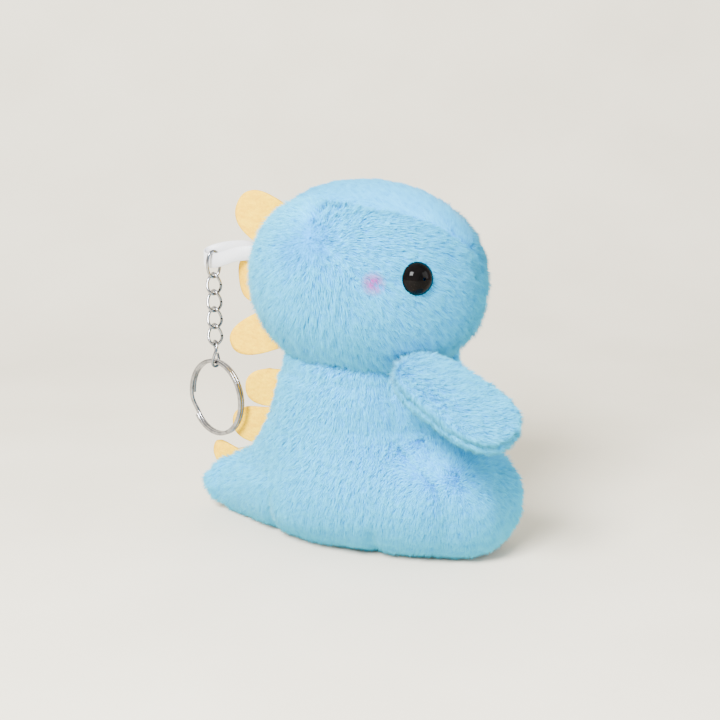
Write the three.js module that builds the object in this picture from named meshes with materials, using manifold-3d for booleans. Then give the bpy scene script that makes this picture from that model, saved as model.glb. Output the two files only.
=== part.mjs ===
// A plush dinosaur keychain: a stuffed head and body sewn from pile fabric, two stuffed arms,
// felt spikes down the back, safety eyes, a ribbon loop, a chain of six links and a split ring.
// Millimetres. +X is forwards, out of the face. +Z is up. -Y is the dinosaur's right side.
// The origin is on the underside, in the plane where the body rests.
import * as THREE from "three";
import { ParametricGeometry } from "three/addons/geometries/ParametricGeometry.js";
import { mergeVertices } from "three/addons/utils/BufferGeometryUtils.js";
import Module from "manifold-3d";

const wasm = await Module();
wasm.setup();

// ---- Driving dimensions -------------------------------------------------------------------

const gap = 0.3; // between pieces that touch on the real object
const fillingGap = 0.9; // between a filling and the curved fabric round it
const plush = 2.6; // fabric with its pile pressed down
const felt = 1.4;

const headLength = 80;
const headWidth = 65;
const headHeight = 64;
const headForward = 2; // how far the head's middle is ahead of the origin
const neckHeight = 55; // the head's lowest point
const headSquareness = 0.94; // 1 is a pure ellipse in side view, less is squarer
const crownFront = 22; // angles in side view where the crown panel comes to its points
const crownBack = 140;
const crownSpread = 31; // its widest half-angle

const bodyHeight = 68; // where the body's outline would end inside the head
const bellySeam = 42; // the belly panel's half-angle
const seamAllowance = 7.5; // how deep a felt strip is sewn in behind the seam

const armLength = 42;
const armWidth = 24;
const armThickness = 9.5;
const armDip = 24; // downwards
const armRoll = 22; // the flat of the arm faces up and out
// Where each arm is sewn, with its drop under the head's surface there, how far it turns
// outwards, and how much lower it hangs than its dip.
const rightArm = { forward: 25.5, out: 19.5, drop: 4.842, splay: 11, droop: 0 };
const leftArm = { forward: 20.5, out: 21, drop: 4.974, splay: 38, droop: 75 };

const eyeDiameter = 10.4;
const eyeHeight = 4.4;
const eyeStem = 3;
const eyeStemLength = 12;
const washerDiameter = 10;
const washerThickness = 1.4;

const ribbonWidth = 5;
const ribbonThickness = 0.4;

const wire = 1; // chain wire diameter
const linkWidth = 5.7;
const curbLength = 8.2;
const endLinkLength = 9.9;
const curbLinks = 4;
const ringDiameter = 27;
const ringBand = 1.4; // flat wire, measured along the radius
const ringCoil = 0.95; // and along the ring's axis, for each of its two turns
const ringTurn = -17; // the ring's plane, turned about the vertical

// ---- Helpers ------------------------------------------------------------------------------

const rad = THREE.MathUtils.degToRad;
const vec = (x, y, z) => new THREE.Vector3(x, y, z);
const roundedPower = (value, power) => Math.sign(value) * Math.abs(value) ** power;

// Merges the shared points of a closed surface and turns its faces outwards.
function closedSolid(geometry) {
  geometry.deleteAttribute("normal");
  geometry.deleteAttribute("uv");
  const merged = mergeVertices(geometry, 1e-4);
  const corner = merged.attributes.position;
  const faces = [];
  const [a, b, c] = [vec(), vec(), vec()];
  let volume = 0;
  for (let i = 0; i < merged.index.count; i += 3) {
    const face = [0, 1, 2].map((k) => merged.index.getX(i + k));
    if (new Set(face).size < 3) continue;
    faces.push(face);
    [a, b, c].forEach((point, k) => point.fromBufferAttribute(corner, face[k]));
    volume += a.dot(b.cross(c));
  }
  merged.setIndex((volume < 0 ? faces.map((face) => face.reverse()) : faces).flat());
  return merged;
}

function toManifold(geometry) {
  return new wasm.Manifold(
    new wasm.Mesh({
      numProp: 3,
      vertProperties: new Float32Array(geometry.attributes.position.array),
      triVerts: new Uint32Array(geometry.index.array),
    }),
  );
}

// The geometry with every one of the cutters taken away, each placed by its matrix.
function cutAway(geometry, cutters) {
  let solid = toManifold(geometry);
  for (const { shape, place } of cutters) {
    solid = solid.subtract(toManifold(closedSolid(shape.clone().applyMatrix4(place))));
  }
  const { vertProperties, triVerts } = solid.getMesh();
  const cut = new THREE.BufferGeometry();
  cut.setAttribute("position", new THREE.BufferAttribute(vertProperties, 3));
  cut.setIndex(new THREE.BufferAttribute(triVerts, 1));
  return cut;
}

// A four-sided piece of fabric. surface(s, t, depth) gives a point on it, with depth measured
// inwards from the pile's tips; s and t run from 0 to 1.
function fabricPanel(surface, across, along) {
  const lap = 2 * (across + 1);
  const wrap = (u, v, target) => {
    const step = Math.round(u * lap) % lap;
    const row = Math.round(v * (along + 2));
    const isOutside = step <= across;
    const isEdge = row === 0 || row === along + 2;
    const s = (isOutside ? step : lap - 1 - step) / across;
    const t = THREE.MathUtils.clamp(row - 1, 0, along) / along;
    const depth = isOutside ? 0 : plush;
    target.copy(surface(s, t, isEdge ? plush / 2 : depth));
  };
  return closedSolid(new ParametricGeometry(wrap, lap, along + 2));
}

// A round piece of fabric, from its rim at t = 0 to its middle at t = 1.
function fabricDome(surface, around, rows) {
  const wrap = (u, v, target) => {
    const row = Math.round(v * (2 * rows + 1));
    const isOutside = row <= rows;
    const t = isOutside ? 1 - row / rows : (row - rows - 1) / rows;
    target.copy(surface(Math.round(u * around) / around % 1, t, isOutside ? 0 : plush));
  };
  return closedSolid(new ParametricGeometry(wrap, around, 2 * rows + 1));
}

// A stuffing: surface(s, t) closes on itself in s and comes to a point at both ends of t.
function stuffing(surface, around, rows) {
  const wrap = (u, v, target) => target.copy(surface((Math.round(u * around) / around) % 1, v));
  return closedSolid(new ParametricGeometry(wrap, around, rows));
}

const root = new THREE.Group();
const rightSide = new THREE.Group(); // holds what is modelled for the left, mirrored
rightSide.scale.y = -1;
root.add(rightSide);

function addPiece(name, geometry, finish, parent = root) {
  const mesh = new THREE.Mesh(geometry, new THREE.MeshStandardMaterial(finish));
  mesh.name = name;
  parent.add(mesh);
  return mesh;
}

const finishes = {
  bluePile: { color: 0x86c8ee, roughness: 0.95, metalness: 0 },
  stuffing: { color: 0xf4f2ec, roughness: 1, metalness: 0 },
  yellowFelt: { color: 0xf6d77c, roughness: 0.95, metalness: 0 },
  satin: { color: 0xf3f3f5, roughness: 0.45, metalness: 0 },
  blackPlastic: { color: 0x0b0b0d, roughness: 0.12, metalness: 0 },
  washerPlastic: { color: 0xe9e9e4, roughness: 0.5, metalness: 0 },
  platedSteel: { color: 0xc9c9cc, roughness: 0.22, metalness: 1 },
};

// ---- Head ---------------------------------------------------------------------------------

const headMiddle = vec(headForward, 0, neckHeight + headHeight / 2);
const seamHalf = felt / 2 + gap; // each side panel stands this far off the middle plane

// turn is the angle in side view, from forwards up and over; lift is the angle out of the
// middle plane. Both are in degrees.
function headPoint(turn, lift, depth) {
  const reach = Math.cos(rad(lift));
  const across = roundedPower(Math.cos(rad(turn)), headSquareness);
  const up = roundedPower(Math.sin(rad(turn)), headSquareness);
  return vec(
    headMiddle.x + (headLength / 2 - depth) * reach * across,
    (headWidth / 2 - depth) * Math.sin(rad(lift)),
    headMiddle.z + (headHeight / 2 - depth) * reach * up,
  );
}

const seamLift = THREE.MathUtils.radToDeg(Math.asin(seamHalf / (headWidth / 2)));

// The crown panel's half-angle at a turn: zero outside it, widest over the top.
function crownLift(turn) {
  const share = (turn - crownFront) / (crownBack - crownFront);
  return share > 0 && share < 1 ? crownSpread * Math.sin(Math.PI * share) ** 0.85 : 0;
}

function headSidePanel(s, t, depth) {
  const turn = 360 * s;
  const crownGap = THREE.MathUtils.radToDeg(gap / (headWidth / 2));
  const rim = Math.max(seamLift, crownLift(turn) + crownGap);
  return headPoint(turn, THREE.MathUtils.lerp(rim, 90, t), depth);
}

function crownPanel(s, t, depth) {
  const ends = 6; // degrees left off each of its pointed ends
  const turn = THREE.MathUtils.lerp(crownFront + ends, crownBack - ends, t);
  const half = crownLift(turn);
  return headPoint(turn, THREE.MathUtils.lerp(-half, half, s), depth);
}

// An eye sits where the side panel faces forwards and out. Its base is turned further forwards
// than the fabric under it, and sinks into the pile.
const eyePlace = { turn: 12.3, lift: 43.6, sink: 1.2 };
const eyeFacing = vec(0.83, 0.54, 0.1).normalize();
const eyeBase = headPoint(eyePlace.turn, eyePlace.lift, eyePlace.sink);
const eyeMatrix = new THREE.Matrix4().compose(
  eyeBase,
  new THREE.Quaternion().setFromUnitVectors(vec(0, 1, 0), eyeFacing),
  vec(1, 1, 1),
);

const lathe = (points, sides) =>
  new THREE.LatheGeometry(points.map(([r, h]) => new THREE.Vector2(r, h)), sides);

// A dome on a stem, drawn about its own axis with the dome's flat back at height 0.
function eyeShape(clearance) {
  const steps = 6;
  const reach = eyeDiameter / 2 + clearance;
  const crown = Array.from({ length: steps + 1 }, (_, i) => {
    const angle = (Math.PI / 2) * (i / steps);
    return [reach * Math.cos(angle), (eyeHeight + clearance) * Math.sin(angle)];
  });
  crown[steps][0] = 0;
  const stem = eyeStem / 2 + clearance;
  return lathe(
    [[0, -eyeStemLength - clearance], [stem, -eyeStemLength - clearance], [stem, -clearance],
      [reach, -clearance], ...crown],
    20,
  );
}

const washerTop = -plush - 1.8; // under the fabric, as low as its curve needs
function washerShape(clearance) {
  const inner = eyeStem / 2 + gap / 2 - clearance;
  const outer = washerDiameter / 2 + clearance;
  const low = washerTop - washerThickness - clearance;
  const high = washerTop + clearance;
  const section = [[inner, low], [outer, low], [outer, high], [inner, high], [inner, low]];
  return lathe(section, 20);
}

const plainWasher = lathe(
  [[0, washerTop - washerThickness - gap], [washerDiameter / 2 + gap, washerTop - washerThickness - gap],
    [washerDiameter / 2 + gap, washerTop + gap], [0, washerTop + gap]],
  20,
);

const eyeCutter = { shape: eyeShape(gap), place: eyeMatrix };
const washerCutter = { shape: plainWasher, place: eyeMatrix };
const mirrored = (cutter) => ({
  shape: cutter.shape,
  place: new THREE.Matrix4().makeScale(1, -1, 1).multiply(cutter.place),
});

const headSide = cutAway(fabricDome(headSidePanel, 36, 6), [eyeCutter, washerCutter]);
addPiece("head_side_panel_left", headSide, finishes.bluePile);
addPiece("head_side_panel_right", headSide, finishes.bluePile, rightSide);
addPiece("head_crown_panel", fabricPanel(crownPanel, 6, 12), finishes.bluePile);

const headCore = stuffing((s, t) => headPoint(360 * s, 180 * t - 90, plush + fillingGap), 32, 14);

// A slit in a filling for the felt strip, from its deepest edge backwards.
function seamSlit(front, low, high) {
  const size = [60, felt + 2 * gap, high - low];
  const middle = vec(front - size[0] / 2, 0, (low + high) / 2);
  return {
    shape: new THREE.BoxGeometry(...size),
    place: new THREE.Matrix4().makeTranslation(middle.x, middle.y, middle.z),
  };
}
const headBack = headMiddle.x - headLength / 2;
addPiece(
  "head_stuffing",
  cutAway(headCore, [
    eyeCutter,
    washerCutter,
    mirrored(eyeCutter),
    mirrored(washerCutter),
    seamSlit(headBack + 2 * seamAllowance, neckHeight, headMiddle.z + headHeight / 2),
  ]),
  finishes.stuffing,
);

for (const [side, parent] of [["left", root], ["right", rightSide]]) {
  const eye = addPiece(`eye_${side}`, closedSolid(eyeShape(0)), finishes.blackPlastic, parent);
  eye.applyMatrix4(eyeMatrix);
  const washer = addPiece(
    `eye_washer_${side}`,
    closedSolid(washerShape(0)),
    finishes.washerPlastic,
    parent,
  );
  washer.applyMatrix4(eyeMatrix);
}

// ---- Body ---------------------------------------------------------------------------------

// Side view of the body from the underside to the neck: its back with the tail, its front with
// the feet and the belly, and its half-width, each given at the same heights.
const outline = (points) => new THREE.SplineCurve(points.map(([x, z]) => new THREE.Vector2(x, z)));
const bodyBack = outline([
  [-50, 0], [-60, 3.5], [-63.3, 9], [-57.5, 15], [-46.5, 21], [-41, 27], [-37, 33],
  [-33.5, 40], [-31, 49], [-26, bodyHeight],
]);
const bodyFront = outline([
  [42, 0], [51, 3.5], [55.5, 9], [56.5, 15], [55, 21], [50, 27], [40, 33],
  [30.5, 40], [28, 49], [21, bodyHeight],
]);
const bodySide = outline([
  [15, 0], [22.5, 3.5], [28.5, 9], [31, 15], [31.5, 21], [30, 27], [27.5, 33],
  [25, 40], [23.5, 49], [18, bodyHeight],
]);
const tailSide = outline([
  [6, 0], [9, 3.5], [11, 9], [11, 15], [13, 21], [16, 27], [19, 33],
  [20, 40], [20, 49], [16, bodyHeight],
]);
const waist = -4; // where the body has reached its full width, ahead of the tail
const toeCleft = 3; // how deep the front dips between the two feet

// turn runs from 0 at the front to 180 at the back; level runs from 0 at the underside to 1.
function bodyPoint(turn, level, depth) {
  const { x: back, y: height } = bodyBack.getPoint(level);
  const front = bodyFront.getPoint(level).x;
  const half = bodySide.getPoint(level).x;
  const tail = tailSide.getPoint(level).x;
  const across = Math.cos(rad(turn));
  const x = (front + back) / 2 + ((front - back) / 2 - depth) * across;
  const width = THREE.MathUtils.lerp(tail, half, THREE.MathUtils.smoothstep(x, back, waist));
  const feet = Math.sin(Math.PI * THREE.MathUtils.clamp(height / 34, 0, 1));
  const cleft = toeCleft * feet * Math.exp(-((turn / 14) ** 2));
  const y = (width - seamHalf - depth) * roundedPower(Math.sin(rad(turn)), 0.75);
  return vec(x - cleft, y, height);
}

function bodySidePanel(s, t, depth) {
  const seamGap = THREE.MathUtils.radToDeg(gap / 20);
  const point = bodyPoint(THREE.MathUtils.lerp(bellySeam + seamGap, 180, s), t, depth);
  point.y += seamHalf;
  return point;
}

function bellyPanel(s, t, depth) {
  const turn = THREE.MathUtils.lerp(-bellySeam, bellySeam, s);
  const point = bodyPoint(Math.abs(turn), t, depth);
  const edge = Math.min(1, Math.abs(turn) / bellySeam);
  return vec(point.x, Math.sign(turn) * (point.y + seamHalf * edge), point.z);
}

// The neck seam: everything of the body ends where it meets the head's surface.
const neckCutter = {
  shape: stuffing((s, t) => headPoint(360 * s, 180 * t - 90, -gap), 48, 24),
  place: new THREE.Matrix4(),
};
const bodySideCloth = cutAway(fabricPanel(bodySidePanel, 14, 14), [neckCutter]);
addPiece("body_side_panel_left", bodySideCloth, finishes.bluePile);
addPiece("body_side_panel_right", bodySideCloth, finishes.bluePile, rightSide);
const bellyCloth = cutAway(fabricPanel(bellyPanel, 8, 14), [neckCutter]);
addPiece("belly_panel", bellyCloth, finishes.bluePile);

const baseEdge = [];
const baseSteps = 48;
for (let i = 0; i < baseSteps; i++) {
  const turn = (360 * i) / baseSteps;
  const point = bodyPoint(Math.min(turn, 360 - turn), 0, plush + gap);
  baseEdge.push(new THREE.Vector2(point.x, turn > 180 ? -point.y : point.y));
}
addPiece(
  "base_panel",
  new THREE.ExtrudeGeometry(new THREE.Shape(baseEdge), { depth: plush, bevelEnabled: false }),
  finishes.bluePile,
);

// The body's filling starts above the base panel and stops under the head.
const fillingTop = 0.96;
const fillingFloor = 0.09;
function bodyFilling(s, t) {
  const rows = 16;
  const row = Math.round(t * rows);
  const level = THREE.MathUtils.mapLinear(
    THREE.MathUtils.clamp(row, 1, rows - 1), 1, rows - 1, fillingFloor, fillingTop);
  const turn = 360 * s;
  const point = bodyPoint(Math.min(turn, 360 - turn), level, plush + fillingGap);
  const y = point.y * (turn > 180 ? -1 : 1);
  const height = Math.max(point.z, plush + gap);
  return row === 0 || row === rows ? vec(0, 0, height) : vec(point.x, y, height);
}
const bodySlit = seamSlit(bodyBack.getPoint(1).x + 4, 8, bodyHeight);
addPiece(
  "body_stuffing",
  cutAway(stuffing(bodyFilling, 32, 16), [bodySlit, neckCutter]),
  finishes.stuffing,
);

// ---- Arms ---------------------------------------------------------------------------------

// An arm lies along its own +X from the shoulder, +Y across it and +Z out of its upper face.
function armPoint(s, t, depth, face) {
  const turn = 2 * Math.PI * s;
  const share = 1 - t;
  const length = armLength / 2 - depth;
  const width = armWidth / 2 - depth;
  const x = length * share * roundedPower(Math.cos(turn), 0.8);
  const taper = 1 + 0.12 * (x / length);
  const y = width * share * taper * roundedPower(Math.sin(turn), 0.8);
  const rim = depth > 0 ? 0 : plush;
  const filled = THREE.MathUtils.smoothstep(x / length, -1.2, 0.4); // thinnest at the shoulder
  const crown = (armThickness / 2 - depth - gap / 2 - rim) * THREE.MathUtils.lerp(0.2, 1, filled);
  const z = gap / 2 + rim + crown * Math.sqrt(Math.max(0, 1 - share ** 2.4));
  return vec(armLength / 2 + x, y, face * z);
}

// The height of the head's underside over a place.
function underHead(forward, out) {
  const reach = Math.sqrt(1 - (out / (headWidth / 2)) ** 2);
  const across = Math.abs((forward - headMiddle.x) / (headLength / 2) / reach);
  const fall = Math.sqrt(1 - across ** (2 / headSquareness));
  return headMiddle.z - (headHeight / 2) * reach * fall ** headSquareness;
}

function makeArm(side, { forward, out, drop, splay, droop }) {
  const joint = new THREE.Group();
  joint.position.set(forward, out, underHead(forward, out) - drop);
  joint.rotation.y = rad(droop);
  const arm = new THREE.Group();
  arm.rotation.set(rad(-armRoll), rad(armDip), rad(splay), "ZYX");
  joint.add(arm);
  for (const [layer, face] of [["upper", 1], ["lower", -1]]) {
    const cloth = fabricDome((s, t, depth) => armPoint(s, t, depth, face), 24, 4);
    addPiece(`arm_${side}_${layer}_panel`, cloth, finishes.bluePile, arm);
  }
  const filling = (s, t) => {
    const face = t < 0.5 ? 1 : -1;
    const rise = face > 0 ? 1 - 2 * t : 2 * t - 1;
    const point = armPoint(s, rise, plush + gap, face);
    return rise > 0 ? point : vec(point.x, point.y, 0);
  };
  addPiece(`arm_${side}_stuffing`, stuffing(filling, 20, 8), finishes.stuffing, arm);
  return joint;
}

root.add(makeArm("left", leftArm));
rightSide.add(makeArm("right", rightArm));

// ---- Felt spikes --------------------------------------------------------------------------

// Each spike stands on the back seam at root and ends at tip, both as [x, z]. Those of the head
// are measured from the head's back, as the ribbon is.
const headSpikes = [
  { root: [4, 102.4], tip: [-8.5, 109], width: 17 },
  { root: [-0.2, 83.5], tip: [-11.5, 82.5], width: 16 },
  { root: [6, 67.6], tip: [-12, 60], width: 14 },
];
const backSpikes = [
  { root: [-33.6, 46.3], tip: [-43.4, 45.9], width: 13 },
  { root: [-37.6, 32.4], tip: [-50.5, 32.4], width: 13 },
  { root: [-50.3, 18.6], tip: [-59.8, 22], width: 9 },
];

const spikeFrame = ({ root: base, tip }) => {
  const out = new THREE.Vector2(tip[0] - base[0], tip[1] - base[1]);
  const reach = out.length();
  out.normalize();
  return { out, reach, along: new THREE.Vector2(-out.y, out.x) };
};

// A flat strip in the middle plane: round spikes on a band whose inner edge is sewn in. Its
// points are measured from x = start.
function feltStrip(spikes, start) {
  const shape = new THREE.Shape();
  const inner = [];
  const steps = 12;
  spikes.forEach((spike, index) => {
    const { out, reach, along } = spikeFrame(spike);
    const place = (rise, side) => [
      spike.root[0] + out.x * rise + along.x * side,
      spike.root[1] + out.y * rise + along.y * side,
    ];
    for (let i = 0; i <= steps; i++) {
      const angle = Math.PI * (i / steps);
      const side = (-spike.width / 2) * roundedPower(Math.cos(angle), 0.85);
      const point = place(reach * roundedPower(Math.sin(angle), 0.7), side);
      if (index + i === 0) shape.moveTo(...point);
      else shape.lineTo(...point);
    }
    inner.push(place(-seamAllowance, -spike.width / 2), place(-seamAllowance, spike.width / 2));
  });
  inner.reverse().forEach((point) => shape.lineTo(...point));
  const strip = new THREE.ExtrudeGeometry(shape, { depth: felt, bevelEnabled: false });
  strip.rotateX(Math.PI / 2).translate(start, felt / 2, 0);
  return closedSolid(strip);
}

// ---- Ribbon loop --------------------------------------------------------------------------

// The middle of the ribbon's width, from one sewn end round the loop to the other. The chain
// pulls the near strand down at ribbonHook.
const ribbonRoot = { forward: headBack + 3.1, up: 92.4 };
const fromBack = (x, y, z) => vec(headBack + x, y, z);
const ribbonHook = fromBack(-18, -1.2, 88.5);
const ribbonPath = new THREE.CatmullRomCurve3([
  vec(ribbonRoot.forward, -0.36, ribbonRoot.up), fromBack(-1, -0.5, ribbonRoot.up),
  fromBack(-8, -1.8, 91.6), fromBack(-14, -2, 89.6), ribbonHook, fromBack(-22, 0.1, 88.4),
  fromBack(-23.9, 2.6, 89.2), fromBack(-22, 5, 90.5), fromBack(-16, 6.1, 92),
  fromBack(-8, 4.5, 92.8), fromBack(-1, 0.6, ribbonRoot.up),
  vec(ribbonRoot.forward, 0.36, ribbonRoot.up),
]);

// A strap with its width upright: four corners carried along the path, closed at both ends.
function upright(path, width, thickness, steps) {
  const corners = [[-1, -1], [1, -1], [1, 1], [-1, 1]];
  const wrap = (u, v, target) => {
    const row = Math.round(v * (steps + 2));
    const along = THREE.MathUtils.clamp(row - 1, 0, steps) / steps;
    const [side, up] = corners[Math.round(u * 4) % 4];
    const heading = path.getTangentAt(along);
    const normal = vec(-heading.y, heading.x, 0).normalize();
    const flat = row === 0 || row === steps + 2 ? 0 : side;
    target.copy(path.getPointAt(along));
    target.addScaledVector(normal, (flat * thickness) / 2);
    target.z += (up * width) / 2;
  };
  return closedSolid(new ParametricGeometry(wrap, 4, steps + 2));
}

addPiece("ribbon_loop", upright(ribbonPath, ribbonWidth, ribbonThickness, 44), finishes.satin);

const ribbonNotch = {
  shape: new THREE.BoxGeometry(12, felt + 2, ribbonWidth + 2 * gap),
  place: new THREE.Matrix4().makeTranslation(ribbonRoot.forward + gap - 6, 0, ribbonRoot.up),
};
const headStrip = cutAway(feltStrip(headSpikes, headBack), [ribbonNotch]);
addPiece("head_felt_strip", headStrip, finishes.yellowFelt);
addPiece("back_felt_strip", feltStrip(backSpikes, 0), finishes.yellowFelt);

// ---- Chain and split ring -----------------------------------------------------------------

// The middle line of a link: an oval of wire, cut on one side, whose upper and lower bends lie
// at the angles top and bottom about the vertical.
class LinkLine extends THREE.Curve {
  constructor(length, top, bottom) {
    super();
    this.half = vec((linkWidth - wire) / 2, 0, (length - wire) / 2);
    this.top = top;
    this.bottom = bottom;
  }

  getPoint(t, target = vec()) {
    const cut = 0.05; // radians left open where the wire's ends meet
    const angle = cut + t * (2 * Math.PI - 2 * cut);
    const rise = roundedPower(Math.sin(angle), 0.9);
    const heading = rad(THREE.MathUtils.mapLinear(rise, -1, 1, this.bottom, this.top));
    const out = this.half.x * roundedPower(Math.cos(angle), 0.9);
    return target.set(out * Math.cos(heading), out * Math.sin(heading), this.half.z * rise);
  }
}

const wireSection = new THREE.Shape(new THREE.EllipseCurve(0, 0, wire / 2, wire / 2).getPoints(8));

// Neighbouring links cross at right angles, each hanging inside the one above it.
const ribbonLinkHeading = 60;
const crossing = wire + gap; // between the middles of two wires that hang on each other
const chainLinks = [
  { length: endLinkLength, top: ribbonLinkHeading, bottom: ribbonLinkHeading },
  ...Array.from({ length: curbLinks }, () => ({
    length: curbLength,
    top: ribbonLinkHeading - 90,
    bottom: ribbonLinkHeading,
  })),
  { length: endLinkLength, top: ribbonLinkHeading + 90, bottom: ringTurn + 90 },
];
let topWire = ribbonHook.z + ribbonWidth / 2 + gap + wire / 2;
chainLinks.forEach(({ length, top, bottom }, index) => {
  const line = new LinkLine(length, top, bottom);
  const options = { extrudePath: line, steps: 24, bevelEnabled: false };
  const link = addPiece(
    `chain_link_${index + 1}`,
    closedSolid(new THREE.ExtrudeGeometry(wireSection, options)),
    finishes.platedSteel,
  );
  link.position.set(ribbonHook.x, ribbonHook.y, topWire - line.half.z);
  topWire = topWire - 2 * line.half.z + crossing;
});
const lastBend = topWire - crossing;

// The split ring: flat wire in two turns side by side, stepping from one to the other where its
// two ends stop short of each other.
function ringPoint(side, up, share) {
  const [start, stepFrom, stepTo, end] = [18, 345, 375, 702];
  const angle = THREE.MathUtils.lerp(start, end, share);
  const turns = THREE.MathUtils.smoothstep(angle, stepFrom, stepTo) - 0.5;
  const radius = ringDiameter / 2 - (side < 0 ? ringBand : 0);
  const place = rad(angle + 200);
  return vec(
    radius * Math.cos(place),
    turns * (ringCoil + gap / 3) + (up * ringCoil) / 2,
    radius * Math.sin(place),
  );
}

function splitRing(steps) {
  const corners = [[-1, -1], [1, -1], [1, 1], [-1, 1]];
  const wrap = (u, v, target) => {
    const row = Math.round(v * (steps + 2));
    const share = THREE.MathUtils.clamp(row - 1, 0, steps) / steps;
    const [side, up] = corners[Math.round(u * 4) % 4];
    const flat = row === 0 || row === steps + 2 ? 0 : up;
    target.copy(ringPoint(side, flat, share));
  };
  return closedSolid(new ParametricGeometry(wrap, 4, steps + 2));
}

const ring = addPiece("split_ring", splitRing(90), finishes.platedSteel);
const ringInside = ringDiameter / 2 - ringBand;
ring.position.set(ribbonHook.x, ribbonHook.y, lastBend + wire / 2 + 2 * gap - ringInside);
ring.rotation.z = rad(ringTurn);

export default root;
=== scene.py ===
# %% [markdown]
# # A plush dinosaur keychain, built up in Blender
# The toy is sewn from short blue pile fabric and stuffed, so almost everything the eye sees is
# pile. The solid parts of the toy are already drawn to size, and this notebook loads them as a
# fixed frame. Each soft piece is then made again as a smooth skin with pile growing out of it.
# Lengths below are in millimetres, and each finished mesh is scaled to metres.

import math

import bpy
import numpy as np
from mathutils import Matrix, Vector


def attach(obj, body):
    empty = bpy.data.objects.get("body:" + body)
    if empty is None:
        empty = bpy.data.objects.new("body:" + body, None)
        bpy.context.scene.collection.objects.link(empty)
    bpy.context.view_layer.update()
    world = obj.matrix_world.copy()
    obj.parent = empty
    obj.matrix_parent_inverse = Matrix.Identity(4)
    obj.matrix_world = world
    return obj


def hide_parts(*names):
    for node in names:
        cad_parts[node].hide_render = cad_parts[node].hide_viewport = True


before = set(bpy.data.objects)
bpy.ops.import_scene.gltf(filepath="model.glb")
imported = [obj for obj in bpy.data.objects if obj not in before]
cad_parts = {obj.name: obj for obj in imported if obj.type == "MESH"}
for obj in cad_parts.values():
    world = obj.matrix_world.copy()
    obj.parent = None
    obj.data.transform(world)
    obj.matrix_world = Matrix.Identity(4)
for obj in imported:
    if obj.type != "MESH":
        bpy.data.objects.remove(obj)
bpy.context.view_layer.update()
MM = 0.001
print("nodes:", len(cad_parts))

# %% [markdown]
# ## The camera
# A long lens far away keeps the round head from bulging. Azimuth is counted from straight
# behind the -Y side towards the face, and elevation is above the table. The camera comes first
# because every later choice is judged through it.

# %% Place the camera
AZIMUTH = math.radians(27)
ELEVATION = math.radians(13)
CAMERA_DISTANCE = 0.480
AIM = Vector((-0.6, -0.3, 59.5)) * MM


def add_camera():
    """The eye sits on a sphere round the aim point, at the azimuth and elevation above."""
    data = bpy.data.cameras.new("camera")
    data.lens = 73.15
    data.sensor_width = 36
    data.clip_start = 0.01
    camera = bpy.data.objects.new("camera", data)
    bpy.context.scene.collection.objects.link(camera)
    flat = math.cos(ELEVATION)
    toward = Vector(
        (math.sin(AZIMUTH) * flat, -math.cos(AZIMUTH) * flat, math.sin(ELEVATION))
    )
    camera.location = AIM + CAMERA_DISTANCE * toward
    camera.rotation_euler = (-toward).to_track_quat("-Z", "Y").to_euler()
    bpy.context.scene.camera = camera
    return camera


camera = add_camera()
print("camera at", [round(v, 3) for v in camera.location])

# %% [markdown]
# ## Helpers for meshes
# Every new piece is a grid of points worked out at once with numpy. The three helpers below
# turn such a grid into faces, put faces and points into a mesh, and give it a material.

# %% Grids and meshes


def grid_quads(rows, columns, closed=True):
    """Faces between neighbouring points of a grid; closed joins the last column to the first."""
    spans = columns if closed else columns - 1
    row, column = np.meshgrid(np.arange(rows - 1), np.arange(spans), indexing="ij")
    right = (column + 1) % columns
    corners = [row * columns + column, row * columns + right]
    corners += [(row + 1) * columns + right, (row + 1) * columns + column]
    return np.stack([c.ravel() for c in corners], 1)


def triangles_of(quads):
    """Each four-sided face as two triangles."""
    return np.concatenate([quads[:, [0, 1, 2]], quads[:, [0, 2, 3]]])


def face_normals(points, triangles):
    """The cross product of two edges of each triangle: its length is twice the area."""
    a, b, c = (points[triangles[:, k]] for k in range(3))
    return np.cross(b - a, c - a)


def point_normals(points, triangles):
    """At each point, the area-weighted mean of the normals of the triangles that meet there."""
    total = np.zeros_like(points)
    normals = face_normals(points, triangles)
    for k in range(3):
        np.add.at(total, triangles[:, k], normals)
    length = np.linalg.norm(total, axis=1, keepdims=True)
    return total / np.maximum(length, 1e-9)


def outward(points, faces):
    """The same faces, turned round if the closed surface they make is inside out."""
    triangles = triangles_of(faces) if faces.shape[1] == 4 else faces
    volume = np.einsum("ij,ij->i", points[triangles[:, 0]], face_normals(points, triangles)).sum()
    return faces if volume > 0 else faces[:, ::-1]


def make_piece(name, points, faces, material, uv=None):
    """A mesh object from arrays: points in millimetres, faces all with the same side count."""
    mesh = bpy.data.meshes.new(name)
    sides = faces.shape[1]
    mesh.vertices.add(len(points))
    mesh.vertices.foreach_set("co", (points * MM).astype(np.float32).ravel())
    mesh.loops.add(faces.size)
    mesh.loops.foreach_set("vertex_index", faces.astype(np.int32).ravel())
    mesh.polygons.add(len(faces))
    mesh.polygons.foreach_set("loop_start", np.arange(0, faces.size, sides, dtype=np.int32))
    if uv is not None:
        layer = mesh.uv_layers.new(name="cloth")
        layer.data.foreach_set("uv", uv[faces.ravel()].astype(np.float32).ravel())
    mesh.update(calc_edges=True)
    mesh.validate()
    mesh.shade_smooth()
    mesh.materials.append(material)
    piece = bpy.data.objects.new(name, mesh)
    bpy.context.scene.collection.objects.link(piece)
    return piece


def merged(points, faces, distance=1e-3):
    """Points closer than the distance become one, so that seams and poles are closed."""
    keys = np.round(points / distance).astype(np.int64)
    _, first, index = np.unique(keys, axis=0, return_index=True, return_inverse=True)
    return points[first], index.reshape(-1)[faces], first


print("a 3 by 4 closed grid has", len(grid_quads(3, 4)), "faces")

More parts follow.
